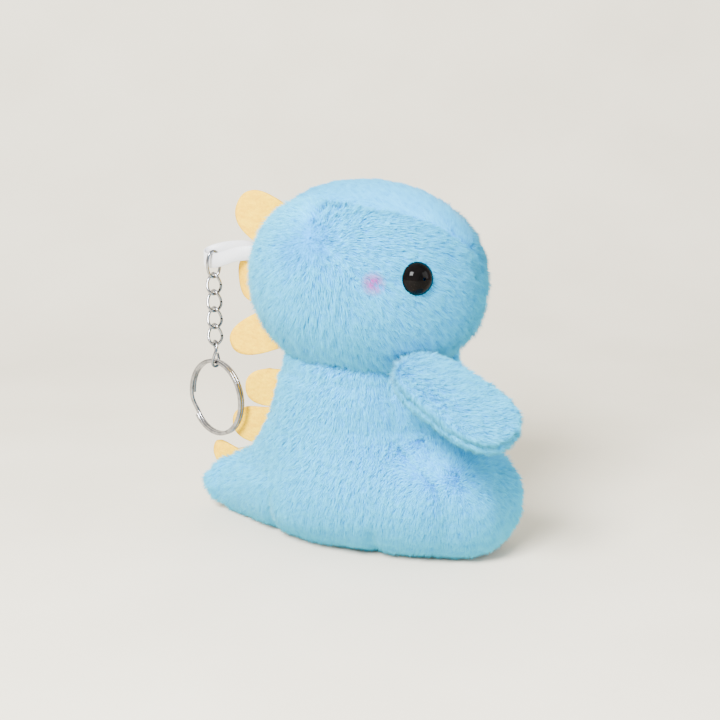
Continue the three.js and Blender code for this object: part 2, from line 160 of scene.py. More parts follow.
# %% [markdown]
# ## Smooth random fields
# Cloth and pile are never perfectly even. A sum of sine waves in fixed random directions gives
# a value that changes smoothly from place to place, and it is the same on every run because
# the random numbers start from a fixed seed.

# %% A smooth field of waves


def waves(points, wavelength, seed, count=7):
    """The mean of sines of the position along random directions, each about a wavelength long."""
    rng = np.random.default_rng(seed)
    directions = rng.normal(size=(count, 3))
    directions /= np.linalg.norm(directions, axis=1, keepdims=True)
    lengths = wavelength * rng.uniform(0.7, 1.4, count)
    phases = rng.uniform(0, 2 * np.pi, count)
    angle = points @ (directions / lengths[:, None]).T * 2 * np.pi + phases
    return np.sin(angle).sum(1) / math.sqrt(count)


def wave_vectors(points, wavelength, seed):
    """Three independent fields of waves, as one vector at each point."""
    return np.stack([waves(points, wavelength, seed + k) for k in range(3)], 1)


def smoothstep(value, low, high):
    """0 below low, 1 above high, and an S-shaped rise between them."""
    share = np.clip((value - low) / (high - low), 0, 1)
    return share * share * (3 - 2 * share)


def bump(points, centre, radius):
    """1 at the centre, falling off as a bell; radius is one number or one for each axis."""
    return np.exp(-(((points - np.array(centre)) / np.array(radius)) ** 2).sum(1))


print("field at the origin:", waves(np.zeros((1, 3)), 10.0, 1).round(3))

# %% [markdown]
# ## Pile fabric
# On the real toy the pile is thousands of soft fibres, a few millimetres long, that lean over
# and cling together in small tufts. Hair curves would draw it well, but they can't leave
# Blender as a mesh. So each tuft is one slim spike of three triangles, rooted in the skin. The
# spikes lean along a flow direction that is set for each sewn panel, since pile lies the way
# the cloth was cut, and neighbours lean alike, which makes the soft strokes seen on plush.

# %% Grow pile on a skin
PILE_ROOT_DEPTH = 0.5
STRAND_SHADING = 0.42


def scatter(points, triangles, weight, count, rng):
    """Random places on the skin, with as many on each triangle as its area times its weight."""
    area = np.linalg.norm(face_normals(points, triangles), axis=1)
    share = area * weight[triangles].mean(1)
    chosen = rng.choice(len(triangles), count, p=share / share.sum())
    u, v = rng.random(count), rng.random(count)
    over = u + v > 1
    u[over], v[over] = 1 - u[over], 1 - v[over]
    return chosen, np.stack([1 - u - v, u, v], 1)


def blend_at(values, triangles, chosen, parts):
    """A value held at the skin's points, read at the scattered places."""
    return np.einsum("ij,ijk->ik", parts, values[triangles[chosen]])


def unit(vectors):
    """Each vector at length one."""
    return vectors / np.maximum(np.linalg.norm(vectors, axis=1, keepdims=True), 1e-9)


def spikes(roots, headings, lengths, widths, turns):
    """
    Slim pyramids: three corners round each root, across its heading, and one at the tip. The
    open end is inside the skin. The sides come back too, for shading.
    """
    side = unit(np.cross(headings, [[0.31, 0.62, 0.72]]))
    other = np.cross(headings, side)
    rings = []
    for k in range(3):
        angle = turns + 2 * np.pi * k / 3
        rings.append(side * np.cos(angle)[:, None] + other * np.sin(angle)[:, None])
    tips = roots + headings * lengths[:, None]
    corners = [roots + ring * widths[:, None] / 2 for ring in rings]
    points = np.stack([*corners, tips], 1).reshape(-1, 3)
    pattern = np.array([[0, 1, 3], [1, 2, 3], [2, 0, 3]])
    faces = (np.arange(len(roots)) * 4)[:, None, None] + pattern
    return points, faces.reshape(-1, 3), np.stack([*rings, headings], 1)


def grow_pile(name, skin, flow, style, material, weight, uv, seed, parted=None, painted_highlight=None):
    """
    Pile on a skin given as (points, triangles, normals). Each fibre's heading is the normal
    plus the flow times the lean, plus tuft-sized waves and a little chance of its own. The
    fibres take most of their shading from the skin under them, as a soft coat does, and only
    some from their own sides. parted is 1 where the coat opens and shows its roots; there the
    fibres are shorter and their colour is darkened as painted shade.
    """
    points, triangles, normals = skin
    rng = np.random.default_rng(seed)
    chosen, parts = scatter(points, triangles, weight, style["count"], rng)
    place = blend_at(points, triangles, chosen, parts)
    normal = unit(blend_at(normals, triangles, chosen, parts))
    along = blend_at(flow, triangles, chosen, parts)
    along -= normal * np.einsum("ij,ij->i", along, normal)[:, None]
    tuft = wave_vectors(place, style["tuft"], seed + 10) * style["tuft_lean"]
    tuft += wave_vectors(place, style["tuft"] * 3.1, seed + 20) * style["swirl"]
    chance = rng.normal(size=place.shape) * style["chance"]
    heading = unit(normal + along * style["lean"] + tuft + chance)
    upright = np.einsum("ij,ij->i", heading, normal)
    heading = unit(heading + normal * np.maximum(0, 0.22 - upright)[:, None])
    length = style["length"] * rng.uniform(0.72, 1.18, len(place))
    length *= 1 + 0.12 * waves(place, style["tuft"] * 1.7, seed + 30)
    openness = 0 if parted is None else parted(place)
    length *= 1 - 0.45 * openness
    roots = place - normal * PILE_ROOT_DEPTH
    tips_height = roots[:, 2] + heading[:, 2] * length
    length *= np.where(tips_height < 0.15, np.clip((roots[:, 2] - 0.15) / np.maximum(
        -heading[:, 2] * length, 1e-6), 0.05, 1), 1)
    width = style["width"] * rng.uniform(0.75, 1.25, len(place))
    turns = rng.uniform(0, 2 * np.pi, len(place))
    verts, faces, sides = spikes(roots, heading, length, width, turns)
    root_uv = blend_at(uv, triangles, chosen, parts)
    patch = 1.4 / math.sqrt(len(place))
    spread = patch * np.array([[-1, -0.6], [1, -0.6], [0, 1.2], [0, 0]])
    verts_uv = (root_uv[:, None, :] + spread[None]).reshape(-1, 2)
    piece = make_piece(name, verts, faces, material, np.clip(verts_uv, 0.002, 0.998))
    shading = unit((normal[:, None] + STRAND_SHADING * sides).reshape(-1, 3))
    piece.data.normals_split_custom_set_from_vertices(shading.astype(np.float32))
    piece.data.attributes.new("reach", "FLOAT", "POINT").data.foreach_set(
        "value", np.tile([0.0, 0.0, 0.0, 1.0], len(place)).astype(np.float32)
    )
    shade = 0.5 + 0.42 * (rng.random(len(place)) - 0.5)
    # Tone varies at random and by tuft; where the coat parts, the colour is darkened as painted shade.
    shade += 0.16 * waves(place, style["tuft"], seed + 10) - 0.75 * openness
    # A painted highlight makes the tone paler here, where one is given.
    shade += 0 if painted_highlight is None else painted_highlight(place)
    piece.data.attributes.new("shade", "FLOAT", "POINT").data.foreach_set(
        "value", np.repeat(np.clip(shade, 0, 1), 4).astype(np.float32)
    )
    print(name, "has", len(place), "fibres")
    return piece


PLAIN_PILE = dict(
    count=62000, length=3.5, width=0.27, lean=1.25, tuft=2.6, tuft_lean=0.17, swirl=0.13, chance=0.1
)

# %% [markdown]
# ## Finishes
# Each finish is a small set of nodes. The pile's colour is painted darker and bluer at its
# roots, as painted shade where less light gets in, and pale at its tips, as a painted
# highlight. The blush is printed on the pile, so it is part of the same finish, found by its
# distance from a point on each cheek.

# %% Helpers for finishes
BLUSH_CENTRE = (18.6, 29.3, 90.9)
PILE_TONES = [(0.0, (0.1, 0.58, 0.76)), (0.5, (0.8, 0.93, 0.97)), (1.0, (1.0, 1.0, 1.0))]


def new_finish(name, roughness, sheen=0.0, metallic=0.0):
    """A material with its shader, and the two values that don't vary set on its sockets."""
    material = bpy.data.materials.new(name)
    material.use_nodes = True
    shader = material.node_tree.nodes["Principled BSDF"]
    shader.inputs["Roughness"].default_value = roughness
    shader.inputs["Metallic"].default_value = metallic
    shader.inputs["Sheen Weight"].default_value = sheen
    return material, material.node_tree, shader


def add_node(tree, kind, **settings):
    """A node of that kind, with the named properties or input values set."""
    node = tree.nodes.new(kind)
    for key, value in settings.items():
        if hasattr(node, key):
            setattr(node, key, value)
        else:
            node.inputs[key.replace("_", " ").title()].default_value = value
    return node


def ramp(tree, source, stops):
    """Colours at places between 0 and 1, smoothly mixed; source drives it."""
    node = tree.nodes.new("ShaderNodeValToRGB")
    while len(node.color_ramp.elements) < len(stops):
        node.color_ramp.elements.new(0.5)
    for element, (place, colour) in zip(node.color_ramp.elements, stops):
        element.position = place
        element.color = (*colour, 1)
    tree.links.new(source, node.inputs["Fac"])
    return node.outputs["Color"]


def mix_colours(tree, blend, factor, first, second):
    """The Mix node in colour mode; factor, first and second are sockets or plain values."""
    node = tree.nodes.new("ShaderNodeMix")
    node.data_type = "RGBA"
    node.blend_type = blend
    for socket, value in ((0, factor), (6, first), (7, second)):
        if isinstance(value, bpy.types.NodeSocket):
            tree.links.new(value, node.inputs[socket])
        else:
            node.inputs[socket].default_value = value
    return node.outputs[2]


def noise_on_object(tree, scale, detail=3.0, stretch=(1, 1, 1)):
    """Noise read at the object's own coordinates; scale is in cycles per metre."""
    place = tree.nodes.new("ShaderNodeTexCoord")
    mapping = tree.nodes.new("ShaderNodeMapping")
    mapping.inputs["Scale"].default_value = stretch
    noise = tree.nodes.new("ShaderNodeTexNoise")
    noise.inputs["Scale"].default_value = scale
    noise.inputs["Detail"].default_value = detail
    tree.links.new(place.outputs["Object"], mapping.inputs["Vector"])
    tree.links.new(mapping.outputs["Vector"], noise.inputs["Vector"])
    return noise.outputs["Fac"]


def pile_finish(name, root, middle, tip, blush=False):
    """Root to tip colours along each fibre: painted shade at the root and a painted highlight at
    the tip, with a slow change from place to place.
    """
    material, tree, shader = new_finish(name, 0.8, sheen=0.08)
    shader.inputs["Specular IOR Level"].default_value = 0.08
    reach = add_node(tree, "ShaderNodeAttribute", attribute_name="reach")
    shade = add_node(tree, "ShaderNodeAttribute", attribute_name="shade")
    colour = ramp(tree, reach.outputs["Fac"], [(0.0, root), (0.4, middle), (1.0, tip)])
    tone = ramp(tree, shade.outputs["Fac"], PILE_TONES)
    colour = mix_colours(tree, "MULTIPLY", 1.0, colour, tone)
    cloud = ramp(tree, noise_on_object(tree, 60), [(0.3, (0.92, 0.95, 0.98)), (0.7, (1, 1, 1))])
    colour = mix_colours(tree, "MULTIPLY", 1.0, colour, cloud)
    if blush:
        colour = blushed(tree, colour)
    tree.links.new(colour, shader.inputs["Base Color"])
    return material


def blushed(tree, colour):
    """Pink within a few millimetres of the cheek's point; only y is folded onto both sides."""
    place = tree.nodes.new("ShaderNodeTexCoord")
    parts = tree.nodes.new("ShaderNodeSeparateXYZ")
    folded = add_node(tree, "ShaderNodeMath", operation="ABSOLUTE")
    both = tree.nodes.new("ShaderNodeCombineXYZ")
    tree.links.new(place.outputs["Object"], parts.inputs[0])
    tree.links.new(parts.outputs["Y"], folded.inputs[0])
    tree.links.new(parts.outputs["X"], both.inputs["X"])
    tree.links.new(folded.outputs[0], both.inputs["Y"])
    tree.links.new(parts.outputs["Z"], both.inputs["Z"])
    away = add_node(tree, "ShaderNodeVectorMath", operation="DISTANCE")
    tree.links.new(both.outputs[0], away.inputs[0])
    away.inputs[1].default_value = [v * MM for v in BLUSH_CENTRE]
    near = tree.nodes.new("ShaderNodeMapRange")
    near.inputs["From Min"].default_value = 4.4 * MM
    near.inputs["From Max"].default_value = 1.2 * MM
    near.inputs["To Max"].default_value = 1.0
    tree.links.new(away.outputs["Value"], near.inputs["Value"])
    patchy = ramp(tree, noise_on_object(tree, 900), [(0.3, (0.45, 0.45, 0.45)), (0.6, (1, 1, 1))])
    amount = add_node(tree, "ShaderNodeMath", operation="MULTIPLY")
    tree.links.new(near.outputs["Result"], amount.inputs[0])
    tree.links.new(patchy, amount.inputs[1])
    return mix_colours(tree, "MIX", amount.outputs[0], colour, (0.55, 0.03, 0.42, 1))


# Root, middle and tip colours: the deep root is painted shade and the pale tip a painted highlight.
PILE_COLOURS = [(0.0, 0.37, 0.72), (0.0, 0.50, 0.95), (0.07, 0.76, 1.0)]
# The crown's colours are the pile's made deeper, as painted shade on the top of the head where the key
# lamp falls most.
CROWN_PAINTED_SHADE_COLOURS = [(0.0, 0.36, 0.72), (0.0, 0.44, 0.92), (0.03, 0.63, 0.97)]
blue_pile = pile_finish("blue_pile", *PILE_COLOURS)
cheek_pile = pile_finish("cheek_pile", *PILE_COLOURS, blush=True)
crown_pile = pile_finish("crown_pile", *CROWN_PAINTED_SHADE_COLOURS)


def cloth_finish(name, colour, weave_scale):
    """The knitted backing under the pile: two tones of fine noise and a bump from it."""
    material, tree, shader = new_finish(name, 0.9)
    shader.inputs["Specular IOR Level"].default_value = 0.1
    grain = noise_on_object(tree, weave_scale, 2.0)
    dark = tuple(0.8 * c for c in colour)
    tree.links.new(ramp(tree, grain, [(0.3, dark), (0.7, colour)]), shader.inputs["Base Color"])
    relief = tree.nodes.new("ShaderNodeBump")
    relief.inputs["Strength"].default_value = 0.4
    relief.inputs["Distance"].default_value = 0.0003
    tree.links.new(grain, relief.inputs["Height"])
    tree.links.new(relief.outputs["Normal"], shader.inputs["Normal"])
    return material


backing = cloth_finish("pile_backing", (0.0, 0.32, 0.76), 900)
print("finishes:", ", ".join(m.name for m in bpy.data.materials))

# %% [markdown]
# ## The head
# The head is three panels, two sides and a crown, sewn together and stuffed hard. Its shape is
# an ellipsoid that is a little squarer in side view. The skin is drawn as one closed surface,
# pulled in along the seams, and each panel's pile is grown on its own part of it, because the
# pile lies a different way on each.

# %% The head's surface
PILE_HEIGHT = 1.9
HEAD_LENGTH, HEAD_WIDTH, HEAD_HEIGHT = 80.0, 65.0, 64.0
HEAD_MIDDLE = np.array([2.0, 0.0, 87.0])
HEAD_SQUARENESS = 0.94
CROWN_FRONT, CROWN_BACK, CROWN_SPREAD = 22.0, 140.0, 31.0


def rounded_power(value, power):
    """A power that keeps the sign of its value."""
    return np.sign(value) * np.abs(value) ** power


def head_point(turn, lift, depth=0.0):
    """
    An ellipsoid: turn is the angle in side view from forwards up and over, lift the angle out
    of the middle plane, both in degrees, and depth is how far inside the surface.
    """
    turn, lift = np.radians(turn), np.radians(lift)
    across = rounded_power(np.cos(turn), HEAD_SQUARENESS)
    up = rounded_power(np.sin(turn), HEAD_SQUARENESS)
    reach = np.cos(lift)
    x = HEAD_MIDDLE[0] + (HEAD_LENGTH / 2 - depth) * reach * across
    y = (HEAD_WIDTH / 2 - depth) * np.sin(lift) + 0 * turn
    z = HEAD_MIDDLE[2] + (HEAD_HEIGHT / 2 - depth) * reach * up
    return np.stack([x, y, z], -1)


def crown_lift(turn):
    """The crown panel's half-angle: widest over the top, zero at its two points."""
    share = np.clip((turn - CROWN_FRONT) / (CROWN_BACK - CROWN_FRONT), 0, 1)
    return CROWN_SPREAD * np.sin(np.pi * share) ** 0.85


def head_skin(columns=180, rows=91):
    """Every point of the head, pulled in by a narrow groove along each seam."""
    turn = np.linspace(0, 360, columns, endpoint=False)
    lift = np.linspace(-90, 90, rows)
    turn, lift = np.meshgrid(turn, lift)
    seam = crown_lift(turn)
    off_crown = np.abs(np.abs(lift) - seam) * (HEAD_WIDTH / 2) * np.pi / 180
    shown = smoothstep(turn, 40, 75)
    groove = 1.2 * np.exp(-((off_crown / 1.5) ** 2)) * np.where(seam > 1, shown, 0.4)
    points = head_point(turn, lift, PILE_HEIGHT + groove)
    flat = points.reshape(-1, 3)
    faces = grid_quads(rows, columns)
    points, faces, kept = merged(flat, faces)
    turn, lift = turn.ravel()[kept], lift.ravel()[kept]
    return points, outward(points, faces), turn, lift


def seam_hold(points_from_seam, width):
    """1 on a seam, falling to 0 at the width on either side of it."""
    return 1 - smoothstep(points_from_seam, 0.3 * width, width)


head_points, head_faces, head_turn, head_lift = head_skin()
print("head skin:", len(head_points), "points")

# %% [markdown]
# Fabric over stuffing isn't a perfect ellipsoid: it is dented by the stitches and swells
# between them. A short cloth simulation does this. The skin is blown up a little by pressure
# while the seams are held, and the result is read back as the skin's new points. The pressures
# were found by trial: what matters is that the skin moves by some tenths of a millimetre. The
# body has few seams to hold it, so it gets less, and the points that would still run away are
# stopped at a cap. The cell prints how many those are.

# %% Stuff a skin by simulation
HEAD_PRESSURE = 12000.0
BODY_PRESSURE = 1000.0
CLOTH_FRAMES = 12


def stuffed(name, points, faces, held, pressure, cap=1.5):
    """
    The points after a short cloth simulation under pressure. held is 1 where a point is sewn
    down and 0 where it is free, and no point moves further than the cap.
    """
    piece = make_piece(name + "_cloth", points, faces, backing)
    group = piece.vertex_groups.new(name="held")
    for level in np.unique(np.round(held, 1)):
        members = np.nonzero(np.round(held, 1) == level)[0]
        group.add([int(i) for i in members], float(level), "REPLACE")
    cloth = piece.modifiers.new("cloth", "CLOTH")
    cloth.settings.quality = 5
    cloth.settings.mass = 0.1
    cloth.settings.tension_stiffness = 12
    cloth.settings.compression_stiffness = 12
    cloth.settings.bending_stiffness = 0.2
    cloth.settings.use_pressure = True
    cloth.settings.uniform_pressure_force = pressure
    cloth.settings.vertex_group_mass = "held"
    cloth.settings.effector_weights.gravity = 0
    cloth.collision_settings.use_collision = False
    for number in range(1, CLOTH_FRAMES + 1):
        bpy.context.scene.frame_set(number)
    graph = bpy.context.evaluated_depsgraph_get()
    result = piece.evaluated_get(graph).data
    moved = np.zeros(len(points) * 3, np.float32)
    result.vertices.foreach_get("co", moved)
    moved = moved.reshape(-1, 3).astype(float) / MM - points
    length = np.linalg.norm(moved, axis=1, keepdims=True)
    moved *= np.minimum(1, cap / np.maximum(length, 1e-9))
    bpy.data.objects.remove(piece)
    bpy.context.scene.frame_set(1)
    swell = np.linalg.norm(moved, axis=1)
    print(name, "moved by", round(float(swell.mean()), 2), "mm, at most", round(float(swell.max()), 2))
    print("share of its points at the cap:", round(float((swell > cap - 0.01).mean()), 3))
    return points + moved


# %% [markdown]
# On each side the pile runs away from a swirl high at the back of the cheek, so it lies
# forwards on the face, down on the jaw and up against the crown, where its tips stand over the
# seam as a fringe. On the crown it is short and lies back. No fibre is rooted under the middle
# of an eye.

# %% The head's pieces
EYE_CENTRE = head_point(12.3, 43.6, 1.2)
EYE_FACING = np.array([0.83, 0.54, 0.1]) / np.linalg.norm([0.83, 0.54, 0.1])


def skin_of(points, faces):
    """The skin as grow_pile wants it: points, triangles and normals."""
    triangles = triangles_of(faces) if faces.shape[1] == 4 else faces
    triangles = triangles[
        (triangles[:, 0] != triangles[:, 1])
        & (triangles[:, 1] != triangles[:, 2])
        & (triangles[:, 2] != triangles[:, 0])
    ]
    return points, triangles, point_normals(points, triangles)


from_seam = np.abs(np.abs(head_lift) - crown_lift(head_turn)) * (HEAD_WIDTH / 2) * np.pi / 180
held = np.maximum(seam_hold(from_seam, 5.0), head_points[:, 2] < HEAD_MIDDLE[2] - 29.5)
head_points = stuffed("head", head_points, head_faces, held, HEAD_PRESSURE)
head_skin_arrays = skin_of(head_points, head_faces)
head = make_piece("head", head_points, head_faces, backing)
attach(head, "plush")
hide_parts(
    "head_side_panel_left", "head_side_panel_right", "head_crown_panel", "head_stuffing"
)


def near_eye(points):
    """1 within 2.7 mm of the eye's centre, falling to 0 at 3.8 mm, inside the dome's rim, for both
    eyes.
    """
    mirrored = points * [1, -1, 1]
    left = np.linalg.norm(points - EYE_CENTRE, axis=1)
    right = np.linalg.norm(mirrored - EYE_CENTRE, axis=1)
    return 1 - smoothstep(np.minimum(left, right), 2.7, 3.8)


SWIRL = np.array([-5.2, 28.3, 101.6])


def head_flow(points):
    """Away from the swirl high on each side, where the coat parts, and a little downwards."""
    folded = np.abs(points[:, 1:2])
    away = unit((points - SWIRL) * [1, 0, 1] + (folded - SWIRL[1]) * [0, 0.6, 0])
    return unit(away + [0.1, 0, -0.22])


def parted_head(points):
    """1 at the swirl on either side, in a patch that slopes down towards the back."""
    away = (points * [1, 0, 1] + np.abs(points[:, 1:2]) * [0, 1, 0]) - SWIRL - [-1.5, 0, -1]
    sloped = np.stack([away[:, 0] + 0.4 * away[:, 2], away[:, 1], away[:, 2] - 0.4 * away[:, 0]], 1)
    return np.exp(-((sloped / [10.0, 12.0, 6.0]) ** 2).sum(1))


on_crown = np.abs(head_lift) < crown_lift(head_turn) - 0.3
head_uv = np.stack([head_turn / 360, (head_lift + 90) / 180], 1)
bare = near_eye(head_points)
for side, sign in (("left", 1), ("right", -1)):
    weight = (~on_crown & (head_points[:, 1] * sign > -0.2)) * (1 - bare)
    side_pile = grow_pile(
        f"head_side_pile_{side}", head_skin_arrays, head_flow(head_points), PLAIN_PILE,
        cheek_pile, weight.astype(float), head_uv, 11 if sign > 0 else 12, parted_head,
    )
    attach(side_pile, "plush")
crown_style = dict(PLAIN_PILE, count=36000, length=2.9, lean=1.7, tuft_lean=0.1, swirl=0.1)
crown = grow_pile(
    "head_crown_pile", head_skin_arrays, np.tile([-1.0, 0, 0.1], (len(head_points), 1)),
    crown_style, crown_pile, on_crown.astype(float), head_uv, 13,
)
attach(crown, "plush")

# %% [markdown]
# ## The body
# The body is seen as a side outline, its back with the tail and its front with the feet and
# belly, and a half-width, each known at ten heights. A smooth curve is passed through each.

# %% The body's surface
BODY_HEIGHTS = np.array([0, 3.5, 9, 15, 21, 27, 33, 40, 49, 68.0])
BODY_BACK = np.array([-50, -60, -63.3, -57.5, -46.5, -41, -37, -33.5, -31, -26.0])
BODY_FRONT = np.array([42, 51, 55.5, 56.5, 55, 50, 40, 30.5, 28, 21.0])
BODY_SIDE = np.array([15, 22.5, 28.5, 31, 31.5, 30, 27.5, 25, 23.5, 18.0])
TAIL_SIDE = np.array([6, 9, 11, 11, 13, 16, 19, 20, 20, 16.0])
WAIST = -4.0
TOE_CLEFT = 3.0
BELLY_SEAM = 42.0


def through(values, level):
    """A Catmull-Rom curve through evenly spaced values, read at levels from 0 to 1."""
    place = np.clip(level, 0, 1) * (len(values) - 1)
    k = np.minimum(place.astype(int), len(values) - 2)
    t = place - k
    before, after = values[np.maximum(k - 1, 0)], values[np.minimum(k + 2, len(values) - 1)]
    a, b = values[k], values[k + 1]
    v0, v1 = (b - before) / 2, (after - a) / 2
    return (2 * a - 2 * b + v0 + v1) * t**3 + (-3 * a + 3 * b - 2 * v0 - v1) * t**2 + v0 * t + a


def body_point(turn, level, depth=0.0):
    """
    turn goes round from 0 at the front to 180 at the back and on to 360; level rises from 0 at
    the underside to 1. Across, the section is a squared circle that narrows along the tail.
    """
    back, front = through(BODY_BACK, level), through(BODY_FRONT, level)
    height = through(BODY_HEIGHTS, level)
    half, tail = through(BODY_SIDE, level), through(TAIL_SIDE, level)
    half_turn = np.minimum(turn, 360 - turn)
    angle = np.radians(half_turn)
    x = (front + back) / 2 + ((front - back) / 2 - depth) * np.cos(angle)
    rise = np.clip((x - back) / (WAIST - back), 0, 1)
    width = tail + (half - tail) * rise * rise * (3 - 2 * rise)
    feet = np.sin(np.pi * np.clip(height / 34, 0, 1))
    cleft = TOE_CLEFT * feet * np.exp(-((half_turn / 14) ** 2))
    y = (width - depth) * rounded_power(np.sin(angle), 0.75)
    return np.stack([x - cleft, y * np.where(turn > 180, -1, 1), height], -1)


def body_skin(columns=200, rows=90):
    """The body's side from the underside to inside the head, closed by caps at both ends."""
    turn = np.linspace(0, 360, columns, endpoint=False)
    level = np.linspace(0.02, 0.97, rows)
    turn, level = np.meshgrid(turn, level)
    half_turn = np.minimum(turn, 360 - turn)
    groove = 0.9 * np.exp(-(((half_turn - BELLY_SEAM) / 4.0) ** 2))
    points = body_point(turn, level, PILE_HEIGHT + groove)
    points[..., 2] = 1.0 + points[..., 2] * (67 / 68)
    floor_row, top_row = points[0], points[-1]
    caps = []
    for row, share in ((floor_row, (0.0, 0.35, 0.7, 0.9)), (top_row, (0.7, 0.3, 0.0))):
        middle = row.mean(0)
        caps.append(np.stack([middle + (row - middle) * s for s in share]))
    caps[0][..., 2] = floor_row[0, 2] * 0.9
    points = np.concatenate([caps[0], points, caps[1]])
    all_turn = np.tile(turn[0], (len(points), 1))
    share = np.linspace(0, 1, len(points))[:, None] + 0 * all_turn
    faces = grid_quads(len(points), columns)
    flat, faces, kept = merged(points.reshape(-1, 3), faces)
    return flat, outward(flat, faces), all_turn.ravel()[kept], share.ravel()[kept]


def creased(points):
    """The skin with the folds of a stuffed body: at the tail's root, by the feet, at the neck."""
    normals = skin_of(points, body_faces)[2]
    x, z = points[:, 0], points[:, 2]
    low = smoothstep(z, 1.5, 4) * (1 - smoothstep(z, 14, 22))
    depth = 1.6 * np.exp(-(((x + 24 - 0.12 * (z - 11)) / 2.4) ** 2)) * low
    low = smoothstep(z, 1.5, 4) * (1 - smoothstep(z, 9, 15))
    depth += 1.5 * np.exp(-(((x - 15.5 - 0.25 * (z - 8)) / 2.2) ** 2)) * low
    from_head = np.sqrt((((points - HEAD_MIDDLE) / [40, 32.5, 32]) ** 2).sum(1))
    depth += 0.9 * np.exp(-(((from_head - 1.17) / 0.035) ** 2))
    return points - normals * depth[:, None]


body_points, body_faces, body_turn, body_share = body_skin()
half_turn = np.minimum(body_turn, 360 - body_turn)
held = np.maximum(seam_hold(np.abs(half_turn - BELLY_SEAM) * 0.5, 4.0), body_points[:, 2] < 2)
body_points = creased(stuffed("body", body_points, body_faces, held, BODY_PRESSURE))
body_skin_arrays = skin_of(body_points, body_faces)
print("body skin:", len(body_points), "points")

# %% The body's pieces
body = make_piece("body", body_points, body_faces, backing)
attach(body, "plush")
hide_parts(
    "body_side_panel_left", "body_side_panel_right", "belly_panel", "base_panel",
    "body_stuffing",
)


def body_flow(points):
    """Down, with a fan over each foot from the arm's hollow and a drift back along the tail."""
    hollow = np.array([44.0, 0, 36.0])
    fan = unit((points - hollow) * [1, 0, 1])
    share = smoothstep(points[:, 0], 14, 34)[:, None] * (points[:, 2:3] < 40)
    back = smoothstep(-points[:, 0], 20, 45)[:, None] * [-0.6, 0, 0]
    return unit((1 - 0.6 * share) * [0, 0, -1.0] + 0.6 * share * fan + back)


def painted_low_highlight(points):
    """A painted highlight: paler towards the ground and the tail, where the tips catch more light."""
    return 0.22 * (1 - smoothstep(points[:, 2], 6, 24))


BODY_PILE = dict(PLAIN_PILE, length=3.0, lean=1.15, tuft=2.2, tuft_lean=0.13)


body_uv = np.stack([body_turn / 360, body_share], 1)
in_head = ((body_points - HEAD_MIDDLE) / [37, 29.5, 29]) ** 2
outside_head = in_head.sum(1) > 1
underside = body_points[:, 2] < 1.6
for side, sign in (("left", 1), ("right", -1)):
    weight = (half_turn >= BELLY_SEAM) & (body_points[:, 1] * sign > -0.2)
    weight = weight & outside_head & ~underside
    side_pile = grow_pile(
        f"body_side_pile_{side}", body_skin_arrays, body_flow(body_points), BODY_PILE,
        blue_pile, weight.astype(float), body_uv, 21 if sign > 0 else 22, painted_highlight=painted_low_highlight,
    )
    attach(side_pile, "plush")
weight = (half_turn < BELLY_SEAM) & outside_head & ~underside
belly = grow_pile(
    "belly_pile", body_skin_arrays, body_flow(body_points), dict(BODY_PILE, count=44000),
    blue_pile, weight.astype(float), body_uv, 23, painted_highlight=painted_low_highlight,
)
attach(belly, "plush")

# %% [markdown]
# ## The arms
# An arm is two flat pieces of the same pile fabric, sewn face to face round the edge and
# turned, with a little stuffing. Seen from the edge it is two soft lips with the seam sunk
# between them. Each arm is drawn along its own axis and then turned to lie where it is sewn.

# %% The arm's surface
ARM_LENGTH, ARM_WIDTH, ARM_THICKNESS = 42.0, 24.0, 9.5
ARM_DIP, ARM_ROLL = 24.0, 22.0
SHOULDER_TUCK = 3.0  # how far the sewn end runs in under the head's pile
ARM_POSES = {
    "right": dict(shoulder=(25.5, 19.5, 64.0), splay=11.0, droop=0.0),
    "left": dict(shoulder=(20.5, 21.0, 62.0), splay=38.0, droop=75.0),
}


def turn_about(axis, degrees):
    """The matrix that turns a point about X, Y or Z."""
    c, s = math.cos(math.radians(degrees)), math.sin(math.radians(degrees))
    i, j = {"x": (1, 2), "y": (2, 0), "z": (0, 1)}[axis]
    matrix = np.eye(3)
    matrix[i, i], matrix[j, j], matrix[i, j], matrix[j, i] = c, c, -s, s
    return matrix


def arm_skin(columns=120):
    """
    Rings from the middle of the upper face out to the lip, in to the seam, and back over the
    lower face. Each ring is a squared ellipse of its own share of the arm's outline.
    """
    lip = [(0.84, 0.1), (0.90, 0.2), (0.955, 0.5), (0.985, 1.1), (0.995, 1.8), (0.975, 2.5)]
    dome_share = np.linspace(0.94, 0.0, 14)
    turn = np.linspace(0, 2 * np.pi, columns, endpoint=False)
    half_length, half_width = ARM_LENGTH / 2 - 1.6, ARM_WIDTH / 2 - 1.6
    rings = []
    for share, height in lip:
        rings.append((np.full(columns, share), np.full(columns, height)))
    crown = ARM_THICKNESS / 2 - 1.5
    for share in dome_share:
        rings.append((np.full(columns, share), 2.5 + (crown - 2.5) * (1 - share**2.4) ** 0.5
                      * np.ones(columns)))
    upper = []
    for share, height in rings:
        forward = np.cos(turn) > 0
        reach = np.where(forward, half_length, half_length + SHOULDER_TUCK)
        x = reach * share * rounded_power(np.cos(turn), np.where(forward, 0.8, 0.4))
        taper = 1 + 0.12 * (x / half_length)
        y = half_width * share * taper * rounded_power(np.sin(turn), 0.8)
        upper.append(np.stack([ARM_LENGTH / 2 + x, y, height], -1))
    upper = np.stack(upper[::-1])
    lower = upper[::-1] * [1, 1, -1]
    points = np.concatenate([upper, lower[1:]])
    share = np.linspace(0, 1, len(points))[:, None] + np.zeros((1, columns))
    faces = grid_quads(len(points), columns)
    around = np.tile(turn / (2 * np.pi), (len(points), 1))
    flat, faces, kept = merged(points.reshape(-1, 3), faces)
    return flat, outward(flat, faces), around.ravel()[kept], share.ravel()[kept]


